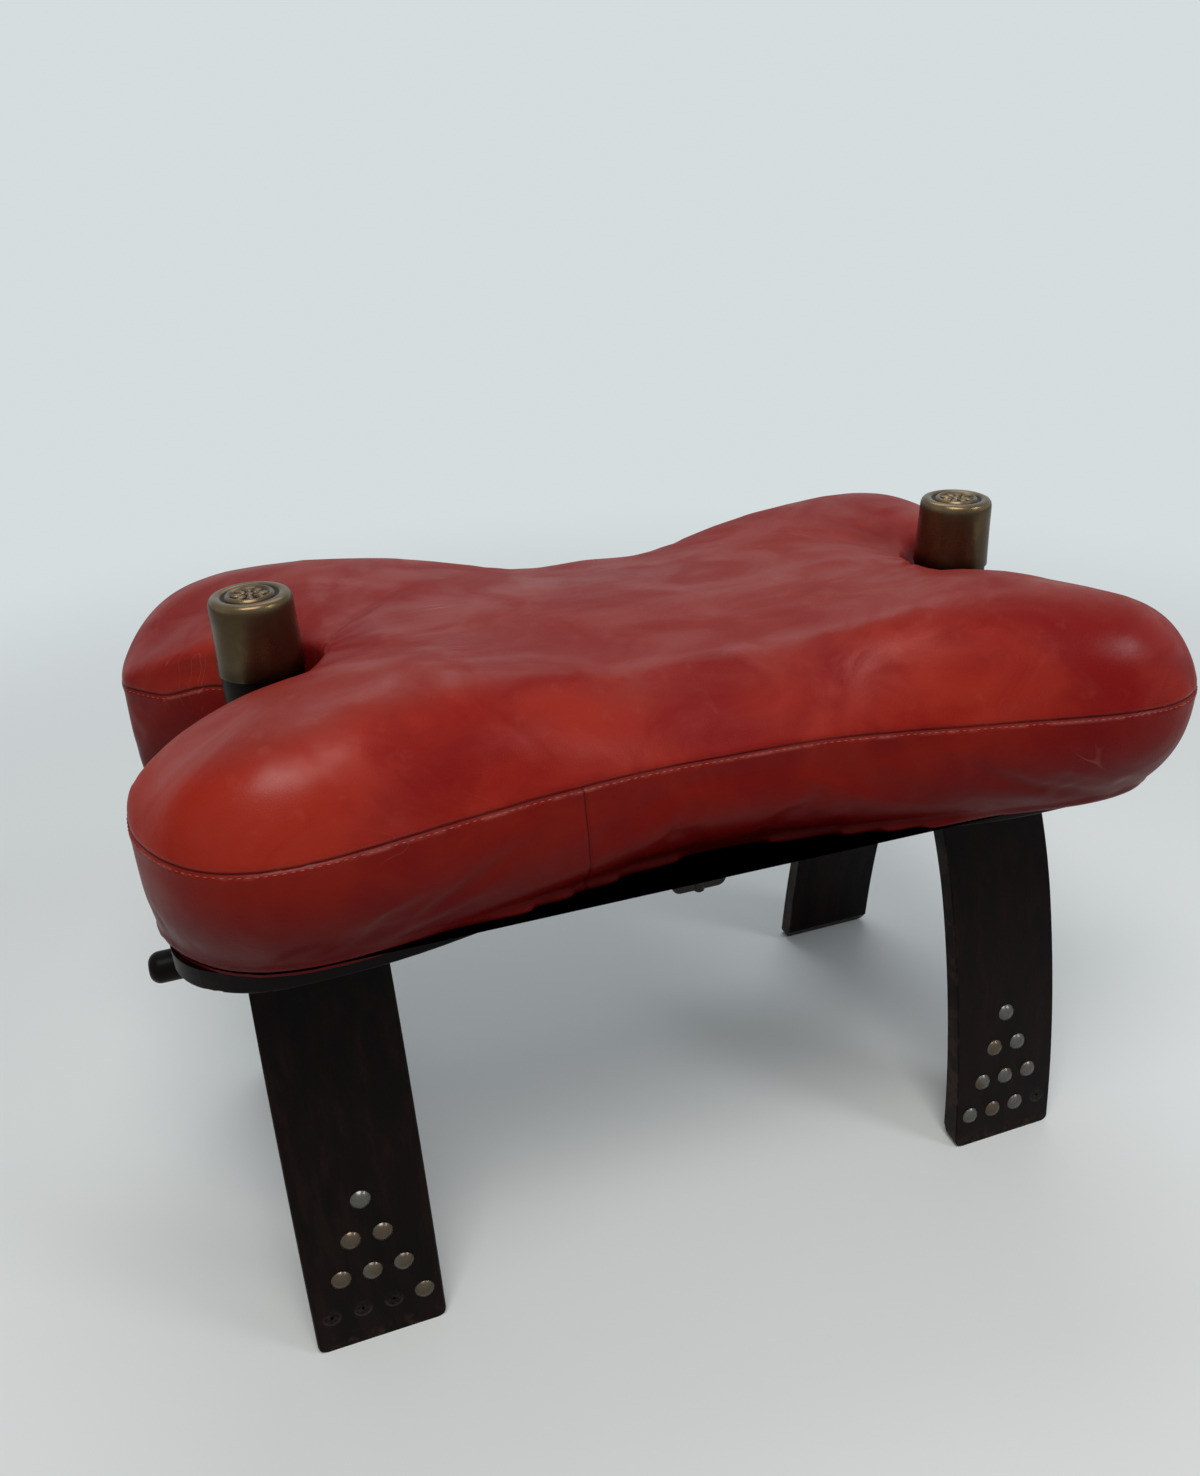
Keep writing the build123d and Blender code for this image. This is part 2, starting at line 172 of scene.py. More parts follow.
def makeLeather():
    fixed = {"IOR": 1.45, "Coat Roughness": 0.26, "Specular IOR Level": 0.08}
    material, root, shader = newMaterial("waxedRedLeather", fixed)
    look = leatherLook
    spot = place(root)
    z = axes(spot)[2]
    normal = root.node("ShaderNodeNewGeometry", {}, {}, "Normal")
    upward = axes(normal)[2]
    broad = cloud(spot, 5.5, 3.0, 0.55, 0.4)
    patches = cloud(stretched(spot, (1.0, 1.6, 1.0), (3.1, 0.4, 0.0)), 14.0, 4.0, 0.6, 0.8)
    mottle = cloud(spot, 70.0, 3.0, 0.6)
    fine = cloud(spot, 900.0, 2.0, 0.6)
    values = {"Vector": spot, "Scale": look["grainSize"], "Randomness": 1.0}
    cells = root.node("ShaderNodeTexVoronoi", {"feature": "DISTANCE_TO_EDGE"}, values, "Distance")
    seamGap = attribute(root, "seamGap")
    bandGap = attribute(root, "bandGap")

    warmShare = step(broad * 0.65 + patches * 0.35, 0.40, 0.62)
    colour = blendColour(warmShare, look["deep"], look["warm"])
    # painted reflection with some wear: upward-facing tops take a pale pinkish colour that stands for the
    # sheen of the bright surroundings
    wearAndSheenShare = step(upward, 0.72, 0.99) * step(broad + patches * 0.4, 0.45, 0.95, 0.55, 1.0)
    colour = blendColour(wearAndSheenShare * 0.74, colour, look["wearAndSheen"])
    # painted shade: the band below the seam is darkened, more towards its foot, where it faces down and lies
    # in shade
    lowerShadeShare = step(z, 0.340, 0.408, 1.0, 0.0)
    bandShadeShare = step(seamGap, -0.0012, 0.0004, 1.0, 0.0) * (lowerShadeShare * 0.45 + 0.45)
    colour = blendColour(bandShadeShare, colour, look["bandShade"])
    colour = blendColour(step(mottle, 0.58, 0.82) * step(z, 0.40, 0.44) * 0.07, colour, look["scuff"])

    scratchPath = cloud(stretched(spot, (4.0, 120.0, 14.0), (0.7, 0.2, 0.0)), 1.0, 1.0, 0.5)
    scratches = step(abs(scratchPath - 0.5), 0.0, 0.006, 1.0, 0.0) * step(cloud(spot, 9.0, 2.0), 0.58, 0.70)
    colour = blendColour(scratches * 0.22, colour, look["scuff"])

    seamLine = step(abs(seamGap), 0.0002, 0.0009, 1.0, 0.0)
    bandLine = step(abs(bandGap), 0.0001, 0.0007, 1.0, 0.0)
    # a light line just below the seam's ridge: partly rubbed wear, partly a painted highlight on the ridge
    edgeRubAndHighlight = step(abs(seamGap + 0.0022), 0.0, 0.0016, 1.0, 0.0) * step(cloud(spot, 60.0, 2.0), 0.42, 0.62)
    colour = blendColour(edgeRubAndHighlight * 0.22, colour, look["scuff"])
    colour = blendColour(seamLine.calc("MAXIMUM", seamLine, bandLine) * 0.80, colour, look["seamShade"])

    wear = step(patches, 0.35, 0.70)
    shine = (wear * 0.22 + 0.05) * step(seamGap, -0.006, 0.004, 0.10, 1.0)
    roughness = wear * -0.10 + fine * 0.06 + wearAndSheenShare * 0.12 + look["roughness"]
    height = step(cells, 0.0, 0.30) * 0.30 + mottle * 0.25 + fine * 0.12 + scratches * -0.6
    relief = bump(height, 0.22, 0.0009)
    feed(shader, root, Base_Color=colour, Roughness=roughness, Coat_Weight=shine, Normal=relief)
    return material


woodLook = {
    "stain": rgb(0.0030, 0.0014, 0.0013),
    "brown": rgb(0.0085, 0.0034, 0.0028),
    "worn": rgb(0.040, 0.020, 0.013),
    "scuff": rgb(0.055, 0.045, 0.042),
    "roughness": 0.38,
}


def makeWood(name, grainAxis, wornLegs=False):
    material, root, shader = newMaterial(name, {"IOR": 1.45, "Specular IOR Level": 0.08})
    look = woodLook
    spot = place(root)
    x, y, z = axes(spot)
    across, along = 95.0, 3.2
    scale = (along, across, across) if grainAxis == "x" else (across, across, along)
    drawn = stretched(spot, scale)
    grain = cloud(drawn, 1.0, 5.0, 0.62, 0.35)
    pores = cloud(stretched(spot, tuple(s * 6.5 for s in scale)), 1.0, 2.0, 0.5)
    broad = cloud(spot, 7.0, 2.0)
    colour = blendColour(step(grain, 0.42, 0.66), look["stain"], look["brown"])
    colour = blendColour(step(broad, 0.45, 0.75) * 0.5, colour, look["brown"])
    roughness = grain * 0.12 + pores * 0.06 + look["roughness"] - 0.08
    height = grain * 0.55 + step(pores, 0.30, 0.46) * 0.45
    if wornLegs:
        edge = step(abs(abs(x) - 0.257), 0.0435, 0.0448)
        rub = edge * step(cloud(spot, 55.0, 3.0, 0.7), 0.46, 0.62)
        foot = step(z, 0.002, 0.016, 1.0, 0.0) * step(cloud(spot, 80.0, 3.0, 0.7), 0.50, 0.66)
        colour = blendColour(rub.calc("MAXIMUM", rub, foot) * 0.6, colour, look["worn"])
        speck = cloud(spot, 380.0, 3.0, 0.7)
        for centreX, centreZ in lostNails:
            offX, offZ = x - centreX, z - centreZ
            far = root.calc("SQRT", offX * offX + offZ * offZ)
            front = step(y, -0.10, -0.08, 1.0, 0.0)
            mark = step(far, 0.0030, 0.0074, 1.0, 0.0) * step(speck, 0.44, 0.66) * front
            below = step(z - centreZ, -0.004, 0.003, 1.0, 0.0)
            rim = step(abs(far - 0.0058), 0.0, 0.0014, 1.0, 0.0) * below * front
            colour = blendColour(mark * 0.35 + rim * 0.45, colour, look["scuff"])
            height = height - step(far, 0.0058, 0.0068, 1.0, 0.0) * front * 0.9
    feed(shader, root, Base_Color=colour, Roughness=roughness, Normal=bump(height, 0.16, 0.0006))
    return material


# places on the front feet whose dome nails are gone, X and Z
lostNails = ((-0.28925, 0.0286), (-0.26775, 0.0286), (-0.24625, 0.0286), (0.28925, 0.0286))

brassLook = {
    "clean": rgb(0.190, 0.132, 0.070),
    "patina": rgb(0.092, 0.062, 0.034),
    "green": rgb(0.092, 0.076, 0.046),
    "sootAndShade": rgb(0.018, 0.012, 0.008),
}


def makeBrass():
    material, root, shader = newMaterial("agedBrass", {"Metallic": 1.0, "IOR": 1.5})
    look = brassLook
    spot = place(root)
    z = axes(spot)[2]
    patch = cloud(spot, 30.0, 3.0, 0.55, 0.3)
    streak = cloud(stretched(spot, (90.0, 90.0, 14.0)), 1.0, 2.0, 0.5)
    fine = cloud(spot, 420.0, 3.0, 0.6)
    topShare = step(z, 0.4915, 0.4985)
    colour = blendColour(step(patch, 0.30, 0.75), look["patina"], look["clean"])
    colour = blendColour(step(streak, 0.50, 0.75) * 0.45, colour, look["green"])
    colour = blendColour((1 - topShare) * step(patch, 0.30, 0.66, 0.80, 0.28), colour, look["patina"])
    cavity = attribute(root, "cavity")
    colour = blendColour(cavity * 0.85, colour, look["sootAndShade"])
    # painted shade: the cap is darker towards its foot, where the leather wraps round it; the hollow on top
    # keeps real soot
    colour = blendColour(step(z, 0.450, 0.462, 0.55, 0.0), colour, look["sootAndShade"])
    roughness = step(patch, 0.30, 0.70, 0.30, 0.22) + fine * 0.05 + cavity * 0.25
    height = fine * 0.4 + streak * 0.6
    feed(shader, root, Base_Color=colour, Roughness=roughness, Normal=bump(height, 0.10, 0.0004))
    return material


def makeNailMetal():
    material, root, shader = newMaterial("domeNailMetal", {"Metallic": 1.0})
    spot = place(root)
    patch = cloud(spot, 62.0, 1.0, 0.5)
    fine = cloud(spot, 700.0, 3.0, 0.65)
    colour = blendColour(step(patch, 0.42, 0.58), rgb(0.115, 0.110, 0.100), rgb(0.100, 0.076, 0.054))
    colour = blendColour(step(fine, 0.55, 0.75) * 0.55, colour, rgb(0.07, 0.055, 0.04))
    feed(shader, root, Base_Color=colour, Roughness=fine * 0.16 + 0.20, Normal=bump(fine, 0.08, 0.0003))
    return material


def makeBlackSteel():
    material, root, shader = newMaterial("blackenedSteel", {"Metallic": 0.75, "IOR": 1.5})
    spot = place(root)
    patch = cloud(spot, 150.0, 4.0, 0.6)
    colour = blendColour(step(patch, 0.56, 0.74), rgb(0.016, 0.014, 0.013), rgb(0.060, 0.034, 0.022))
    feed(shader, root, Base_Color=colour, Roughness=patch * 0.3 + 0.34, Normal=bump(patch, 0.25, 0.0004))
    return material


def makeZinc():
    material, root, shader = newMaterial("dullZinc", {"Metallic": 0.9})
    spot = place(root)
    patch = cloud(spot, 220.0, 4.0, 0.65)
    colour = blendColour(step(patch, 0.42, 0.68), rgb(0.32, 0.32, 0.31), rgb(0.15, 0.13, 0.11))
    feed(shader, root, Base_Color=colour, Roughness=patch * 0.25 + 0.3, Normal=bump(patch, 0.15, 0.0003))
    return material


def makePly():
    material, root, shader = newMaterial("plywoodPanel", {"Specular IOR Level": 0.3})
    spot = place(root)
    z = axes(spot)[2]
    grain = cloud(stretched(spot, (2.4, 60.0, 30.0)), 1.0, 5.0, 0.62, 0.6)
    fibres = cloud(stretched(spot, (14.0, 420.0, 100.0)), 1.0, 2.0)
    upward = abs(axes(root.node("ShaderNodeNewGeometry", {}, {}, "Normal"))[2])
    plies = step(root.calc("FRACT", z / 0.0036), 0.44, 0.56)
    colour = blendColour(step(grain, 0.36, 0.68), rgb(0.52, 0.34, 0.17), rgb(0.68, 0.49, 0.28))
    colour = blendColour(plies * step(upward, 0.2, 0.5, 0.8, 0.0), colour, rgb(0.30, 0.17, 0.08))
    colour = blendColour(step(fibres, 0.60, 0.80) * 0.3, colour, rgb(0.30, 0.18, 0.09))
    relief = bump(grain * 0.5 + fibres * 0.5, 0.3, 0.0005)
    feed(shader, root, Base_Color=colour, Roughness=grain * 0.2 + 0.55, Normal=relief)
    return material


def makeThread():
    material, root, shader = newMaterial("waxedThread", {})
    spot = place(root)
    twist = cloud(spot, 1500.0, 2.0)
    colour = blendColour(twist, rgb(0.26, 0.035, 0.024), rgb(0.42, 0.10, 0.065))
    feed(shader, root, Base_Color=colour, Roughness=twist * 0.2 + 0.5, Normal=bump(twist, 0.3, 0.0002))
    return material


leather = makeLeather()
woodUpright = makeWood("darkWoodLegs", "z", wornLegs=True)
woodPost = makeWood("darkWoodPosts", "z")
woodLong = makeWood("darkWoodBoard", "x")
brass = makeBrass()
nailMetal = makeNailMetal()
blackSteel = makeBlackSteel()
zinc = makeZinc()
ply = makePly()
thread = makeThread()

nodeFinish = {
    "leg_": woodUpright,
    "head_block": woodLong,
    "rod_": woodLong,
    "post_": woodPost,
    "cap_": brass,
    "seat_board": woodLong,
    "nails_": nailMetal,
    "leg_dowels": ply,
    "board_screws": zinc,
    "cushion_base": ply,
    "bolt_": blackSteel,
    "washer_": zinc,
    "wing_nut_": blackSteel,
}
for nodeName, piece in nodes.items():
    for start, material in nodeFinish.items():
        if nodeName.startswith(start):
            if not piece.material_slots:
                piece.data.materials.append(material)
            for materialSlot in piece.material_slots:
                materialSlot.material = material
print("materials made and put on the frame's wood and metal")


def chooseOnly(piece):
    bpy.ops.object.select_all(action="DESELECT")
    piece.select_set(True)
    bpy.context.view_layer.objects.active = piece


def settle(piece):  # place goes into the mesh, as a frame node's does
    chooseOnly(piece)
    bpy.ops.object.transform_apply(location=True, rotation=True, scale=True)


def points(piece):
    flat = np.zeros(len(piece.data.vertices) * 3, np.float32)
    piece.data.vertices.foreach_get("co", flat)
    return flat.reshape(-1, 3).astype(float)


def setPoints(piece, where):
    piece.data.vertices.foreach_set("co", np.asarray(where, np.float32).ravel())
    piece.data.update()


def pointNormals(piece):
    flat = np.zeros(len(piece.data.vertices) * 3, np.float32)
    piece.data.vertices.foreach_get("normal", flat)
    return flat.reshape(-1, 3).astype(float)


def addField(piece, name, values):
    field = piece.data.attributes.get(name) or piece.data.attributes.new(name, "FLOAT", "POINT")
    field.data.foreach_set("value", np.asarray(values, np.float32))


def readField(piece, name):
    values = np.zeros(len(piece.data.vertices), np.float32)
    piece.data.attributes[name].data.foreach_get("value", values)
    return values.astype(float)


def copyNode(name, newName):  # a loose copy of a frame node, with its doubles merged
    piece = nodes[name].copy()
    piece.data = nodes[name].data.copy()
    piece.name = newName
    piece.parent = None
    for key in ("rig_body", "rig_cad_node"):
        del piece[key]
    bpy.context.scene.collection.objects.link(piece)
    piece.data.materials.clear()
    chooseOnly(piece)
    bpy.ops.object.mode_set(mode="EDIT")
    bpy.ops.mesh.select_all(action="SELECT")
    bpy.ops.mesh.remove_doubles(threshold=0.00002)
    bpy.ops.object.mode_set(mode="OBJECT")
    return piece


def smoothed(value, low, high):
    share = np.clip((value - low) / (high - low), 0, 1)
    return share * share * (3 - 2 * share)


cushionShape = {
    "voxel": 0.0055,
    "frames": 20,
    "cloth": {
        "quality": 5,
        "mass": 0.35,
        "tension_stiffness": 18,
        "compression_stiffness": 14,
        "shear_stiffness": 8,
        "bending_stiffness": 1.2,
        "use_pressure": True,
        "uniform_pressure_force": 3.0,
    },
    "cap": 0.0065,  # furthest that the swelling may carry a point
    "bottom": 0.3268,
    "footSpread": 0.0055,
    "footDrop": 0.0012,
    "insidePanel": 0.3315,
    "calmHeight": 0.022,  # the foot's ripples are smoothed up to here
    "calmRounds": 4,
    "boltY": 0.112,
    "boltClear": 0.012,
    "seamHeight": 0.4100,
    "notchRise": 0.010,
    "postX": 0.258,
    "skewX": 0.045,  # the stuffed cover sits a little askew, as lozenges do
    "skewY": 0.030,
    "sink": 0.0023,  # how much lower all but the foot lies than the filling
    "bandSeamX": 0.0945,
    "bandLean": 0.035,
    "tuckDepth": 0.0050,  # the band is tucked in beside its front seam
    "tuckX": 0.002,
    "tuckWidth": 0.070,
    "fallPlaces": (0.215, 0.245, 0.270, 0.300, 0.330, 0.352),  # how far along a lobe
    "fallShares": (0.0, 0.08, 0.17, 0.31, 0.45, 0.54),  # how much lower its crest lies there
    "fallOutside": 0.72,  # less of it away from the notch
    "fallFarRight": 0.55,  # and on the far right lobe
    "creases": {  # directions and widths that fan out from each post, degrees
        -1: ((-36, 6), (-10, 5), (16, 5), (42, 7)),
        1: ((-44, 7), (-16, 6), (10, 5), (36, 7)),
    },
    "creaseDepth": 0.0019,
    "waveHeight": 0.0009,
    "rippleHeight": 0.00015,
    "puckerHeight": 0.00042,
    "seamLoops": (0.0, -0.0008, 0.0008, -0.0018, 0.0018, -0.0036, 0.0036),
    "bandLoops": (0.0, -0.0008, 0.0008, -0.0020, 0.0020),
    "foldPlaces": (0, 0.0008, 0.0018, 0.0036, 0.0085),  # the seam's fold, by distance from it
    "foldHeights": (-0.0012, -0.0006, 0.0001, 0.0003, 0.0),
    "lipPlaces": (0.0008, 0.0018, 0.0036, 0.007),
    "lipHeights": (0, 0.0004, 0.0003, 0),
    "tuckPlaces": (0, 0.0008, 0.0020, 0.006),
    "tuckHeights": (-0.0009, -0.0004, 0.0002, 0.0),
}


def seamRise(where):  # the seam climbs round the posts and sags a little on the right of the front
    fromPost = np.hypot(np.abs(where[:, 0]) - cushionShape["postX"] - 0.02, where[:, 1] * 0.9)
    climb = cushionShape["notchRise"] * (1 - smoothed(fromPost, 0.045, 0.085))
    return climb - 0.0025 * smoothed(where[:, 0], 0.03, 0.18) * smoothed(-where[:, 1], 0.05, 0.12)


def makeCushion():
    look = cushionShape
    body = copyNode("cushion_filling", "cushionCover")
    inside = [copyNode(name, name + "Fill") for name in ("cushion_base", "bolt_front", "bolt_rear")]
    bpy.ops.object.select_all(action="DESELECT")
    for piece in (body, *inside):
        piece.select_set(True)
    bpy.context.view_layer.objects.active = body
    bpy.ops.object.join()
    chooseOnly(body)
    bpy.ops.object.mode_set(mode="EDIT")
    bpy.ops.mesh.select_all(action="SELECT")
    bpy.ops.mesh.bisect(plane_co=(0, 0, look["bottom"]), plane_no=(0, 0, 1), clear_inner=True, use_fill=True)
    bpy.ops.object.mode_set(mode="OBJECT")
    remesh = body.modifiers.new("Remesh", "REMESH")
    remesh.mode = "VOXEL"
    remesh.voxel_size = look["voxel"]
    remesh.adaptivity = 0.0
    bpy.ops.object.modifier_apply(modifier="Remesh")
    print("cushion remeshed,", len(body.data.vertices), "points")

    calm = body.modifiers.new("Smooth", "SMOOTH")
    calm.factor, calm.iterations = 0.5, 10
    bpy.ops.object.modifier_apply(modifier="Smooth")
    before = points(body)
    hold = body.vertex_groups.new(name="hold")
    hold.add([int(i) for i in np.flatnonzero(before[:, 2] < look["bottom"] + 0.004)], 1.0, "REPLACE")
    cloth = body.modifiers.new("Cloth", "CLOTH")
    for name, value in look["cloth"].items():
        setattr(cloth.settings, name, value)
    cloth.settings.vertex_group_mass = "hold"
    cloth.settings.effector_weights.gravity = 0
    cloth.point_cache.frame_start, cloth.point_cache.frame_end = 1, look["frames"]
    for number in range(1, look["frames"] + 1):
        bpy.context.scene.frame_set(number)
    bpy.ops.object.modifier_apply(modifier="Cloth")
    bpy.context.scene.frame_set(1)
    moved = points(body) - before
    reach = np.linalg.norm(moved, axis=1, keepdims=True)
    moved *= np.minimum(1, look["cap"] / np.maximum(reach, 1e-9))
    setPoints(body, before + moved)
    body.vertex_groups.clear()
    print("cushion swollen, mean move", round(float(reach.mean()) * 1000, 1), "mm")
    where = points(body)
    edge = body.vertex_groups.new(name="edge")
    height = where[:, 2] - look["bottom"]
    atEdge = (height < look["calmHeight"]) & (height > -0.001)
    edge.add([int(i) for i in np.flatnonzero(atEdge)], 1.0, "REPLACE")
    calm = body.modifiers.new("Smooth", "SMOOTH")
    calm.factor, calm.iterations = 0.5, look["calmRounds"]
    calm.vertex_group, calm.use_z = "edge", False
    bpy.ops.object.modifier_apply(modifier="Smooth")
    body.vertex_groups.clear()
    return body


def shapeCushion(body):
    look = cushionShape
    finer = body.modifiers.new("Subdivision", "SUBSURF")
    finer.levels = finer.render_levels = 1
    chooseOnly(body)
    bpy.ops.object.modifier_apply(modifier="Subdivision")
    where = points(body)
    away = smoothed(np.abs(where[:, 1]), 0.030, 0.100)
    skew = np.stack([look["skewX"] * where[:, 1], look["skewY"] * where[:, 0]], axis=1)
    where[:, :2] -= skew * away[:, None]
    where[:, 2] -= look["sink"] * smoothed(where[:, 2], 0.345, 0.385)
    fall = np.interp(np.abs(where[:, 0]), look["fallPlaces"], look["fallShares"])
    fall *= 1 - look["fallOutside"] * smoothed(np.abs(where[:, 1]), 0.095, 0.165)
    fall *= 1 - look["fallFarRight"] * smoothed(where[:, 1], -0.02, 0.02) * (where[:, 0] > 0)
    where[:, 2] -= np.maximum(where[:, 2] - look["seamHeight"], 0) * fall
    low = (1 - smoothed(where[:, 2], 0.336, 0.380)) * smoothed(-where[:, 1], 0.085, 0.105)
    beside = np.exp(-((where[:, 0] - look["tuckX"]) / look["tuckWidth"]) ** 2)
    where[:, 1] += look["tuckDepth"] * beside * low
    setPoints(body, where)
    normal = pointNormals(body)
    foot = 1 - smoothed(where[:, 2], look["bottom"], look["bottom"] + 0.010)
    where[:, :2] += normal[:, :2] * (look["footSpread"] * foot)[:, None]
    where[:, 2] -= look["footDrop"] * foot
    panel = BVHTree.FromObject(nodes["cushion_base"], bpy.context.evaluated_depsgraph_get())
    for number in np.flatnonzero(where[:, 2] < look["bottom"] + 0.001):  # the plywood shows inside the hem
        x, y, z = where[number]
        byBolt = math.hypot(x, abs(y) - look["boltY"]) < look["boltClear"]
        if byBolt or panel.ray_cast(Vector((x, y, 0.30)), Vector((0, 0, 1)))[0] is not None:
            where[number, 2] = look["insidePanel"]
    setPoints(body, where)
    normal = pointNormals(body)
    top = smoothed(where[:, 2], look["seamHeight"] + 0.004, look["seamHeight"] + 0.030)
    push = np.zeros(len(where))
    for sign, folds in look["creases"].items():
        throatX = sign * (look["postX"] - 0.030)
        away = np.hypot(where[:, 0] - throatX, where[:, 1])
        turn = np.degrees(np.arctan2(where[:, 1], -sign * (where[:, 0] - throatX)))
        reach = smoothed(away, 0.0, 0.010) * (1 - smoothed(away, 0.018, 0.052))
        for angle, width in folds:
            push -= look["creaseDepth"] * np.exp(-((turn - angle) / width) ** 2) * reach
    wave = np.array([noise.noise(Vector((p[0] * 9, p[1] * 14 + 3, p[2] * 6))) for p in where])
    small = np.array([noise.noise(Vector((p[0] * 42, p[1] * 34, p[2] * 30))) for p in where])
    push += look["waveHeight"] * wave + look["rippleHeight"] * small
    nearSeam = 1 - smoothed(np.abs(where[:, 2] - look["seamHeight"]), 0.004, 0.024)
    pucker = np.array([noise.noise(Vector((p[0] * 75, p[1] * 75, 1.7))) for p in where])
    push += look["puckerHeight"] * pucker * nearSeam
    free = smoothed(where[:, 2], look["insidePanel"] + 0.0005, look["insidePanel"] + 0.008)
    where += normal * (push * free * (0.35 + 0.65 * top))[:, None]
    setPoints(body, where)


def seamCuts(body):  # fine loops along the seam, then a narrow fold at them
    look = cushionShape
    where = points(body)
    rise = seamRise(where)
    flat = where.copy()
    flat[:, 2] -= rise
    setPoints(body, flat)
    addField(body, "rise", rise)
    chooseOnly(body)
    bpy.ops.object.mode_set(mode="EDIT")
    for offset in look["seamLoops"]:
        bpy.ops.mesh.select_all(action="SELECT")
        bpy.ops.mesh.bisect(plane_co=(0, 0, look["seamHeight"] + offset), plane_no=(0, 0, 1))
    for sign in (-1, 1):
        for offset in look["bandLoops"]:
            bpy.ops.mesh.select_all(action="SELECT")
            spot = (sign * look["bandSeamX"] + offset, 0, look["seamHeight"])
            bpy.ops.mesh.bisect(plane_co=spot, plane_no=(1, 0, sign * -look["bandLean"]))
    bpy.ops.object.mode_set(mode="OBJECT")
    where = points(body)
    gap = where[:, 2] - look["seamHeight"]
    where[:, 2] += readField(body, "rise")
    setPoints(body, where)
    normal = pointNormals(body)
    band = np.full(len(where), 0.05)
    for sign in (-1, 1):  # front seam left of the middle, rear seam right of it
        onSide = (where[:, 1] * sign > 0.09) & (gap < 0)
        lean = where[:, 0] - sign * (look["bandSeamX"] + look["bandLean"] * gap)
        band = np.where(onSide, lean, band)
    fold = np.interp(np.abs(gap), look["foldPlaces"], look["foldHeights"])
    lip = np.interp(-gap, look["lipPlaces"], look["lipHeights"])
    fold += np.where(gap < -look["lipPlaces"][0], lip, 0)
    tuck = np.interp(np.abs(band), look["tuckPlaces"], look["tuckHeights"])
    tuck *= smoothed(where[:, 2], look["bottom"], look["bottom"] + 0.004)
    where += normal * (fold + tuck)[:, None]
    setPoints(body, where)
    addField(body, "seamGap", gap)
    addField(body, "bandGap", band)


def loopPoints(body, offset):  # points of one seam loop in order, with their outward direction
    on = np.flatnonzero(np.abs(readField(body, "seamGap") - offset) < 0.00011)
    where, normal = points(body)[on], pointNormals(body)[on]
    path = [int(where[:, 1].argmin())]
    free = np.ones(len(on), bool)
    heading = np.array([1.0, 0.0, 0.0])
    while len(path) < 60 or np.linalg.norm(where[path[-1]] - where[path[0]]) > 0.004:
        free[path[-1]] = False
        ahead = where - where[path[-1]]
        far = np.linalg.norm(ahead, axis=1)
        good = free & (far > 0.0006) & (far < 0.010) & (ahead @ heading > 0)
        if not good.any():
            break
        pick = int(np.where(good, far, 1).argmin())
        heading = ahead[pick] / far[pick]
        path.append(pick)
    return where[path], normal[path]


stitchShape = {"pitch": 0.0046, "length": 0.0025, "width": 0.00036, "below": -0.0018, "lift": 0.00012}


def makeStitches(body):
    look = stitchShape
    path, out = loopPoints(body, look["below"])
    path = np.vstack([path, path[:1]])
    out = np.vstack([out, out[:1]])
    along = np.concatenate([[0], np.cumsum(np.linalg.norm(np.diff(path, axis=0), axis=1))])
    count = int(along[-1] / look["pitch"])
    print("seam is", round(along[-1], 3), "m long, with", count, "stitches")
    bpy.ops.object.select_all(action="DESELECT")
    bpy.ops.mesh.primitive_uv_sphere_add(segments=6, ring_count=5, radius=0.5, location=(0, 0, 0))
    first = bpy.context.active_object
    bpy.ops.object.mode_set(mode="EDIT")
    bpy.ops.mesh.select_all(action="SELECT")
    bpy.ops.transform.rotate(value=math.pi / 2, orient_axis="Y", center_override=(0, 0, 0))
    size = (look["length"], look["width"] * 1.5, look["width"] * 1.5)
    bpy.ops.transform.resize(value=size, center_override=(0, 0, 0))
    bpy.ops.object.mode_set(mode="OBJECT")
    stitches = []
    for number in range(count):
        spot = (number + 0.5) / count * along[-1]
        here = np.array([np.interp(spot, along, path[:, k]) for k in range(3)])
        ahead = np.array([np.interp(spot + 0.001, along, path[:, k]) for k in range(3)])
        away = np.array([np.interp(spot, along, out[:, k]) for k in range(3)])
        forward = Vector(ahead - here).normalized()
        away = Vector(away).normalized()
        side = away.cross(forward).normalized()
        away = forward.cross(side).normalized()
        turned = Matrix((forward, side, away)).transposed().to_4x4()
        one = first.copy()
        one.data = first.data.copy()
        one.data.transform(Matrix.Translation(Vector(here) + away * look["lift"]) @ turned)
        bpy.context.scene.collection.objects.link(one)
        stitches.append(one)
    bpy.ops.object.select_all(action="DESELECT")
    for one in stitches:
        one.select_set(True)
    bpy.context.view_layer.objects.active = stitches[0]
    bpy.ops.object.join()
    row = bpy.context.active_object
    row.name = "seamStitches"
    bpy.data.objects.remove(first)
    chooseOnly(row)
    bpy.ops.object.shade_smooth()
    row.data.materials.clear()
    row.data.materials.append(thread)
    return row


hemShape = {"top": 0.3272, "level": 0.3285, "inset": 0.002}


def makeHem(body):  # the leather turned under the panel, all round its edge
    look = hemShape
    hem = copyNode("cushion_band_leather", "cushionHem")
    bpy.ops.object.mode_set(mode="EDIT")
    bpy.ops.mesh.select_all(action="SELECT")
    bpy.ops.mesh.bisect(plane_co=(0, 0, look["top"]), plane_no=(0, 0, 1), clear_outer=True, use_fill=True)
    bpy.ops.object.mode_set(mode="OBJECT")
    faces = [tuple(face.vertices) for face in body.data.polygons]
    tree = BVHTree.FromPolygons([vertex.co for vertex in body.data.vertices], faces)
    where = points(hem)
    for number, point in enumerate(where):  # its outer edge stays under the cover's rounded foot
        level = Vector((point[0], point[1], look["level"]))
        near, away = tree.find_nearest(level)[:2]
        if (level - near).dot(away) > -look["inset"] and abs(away.z) < 0.95:
            flat = Vector((away.x, away.y)).normalized() * look["inset"]
            where[number, :2] = (near.x - flat.x, near.y - flat.y)
    setPoints(hem, where)
    hem.data.materials.append(leather)
    bpy.ops.object.shade_smooth_by_angle(angle=math.radians(40))
    return hem


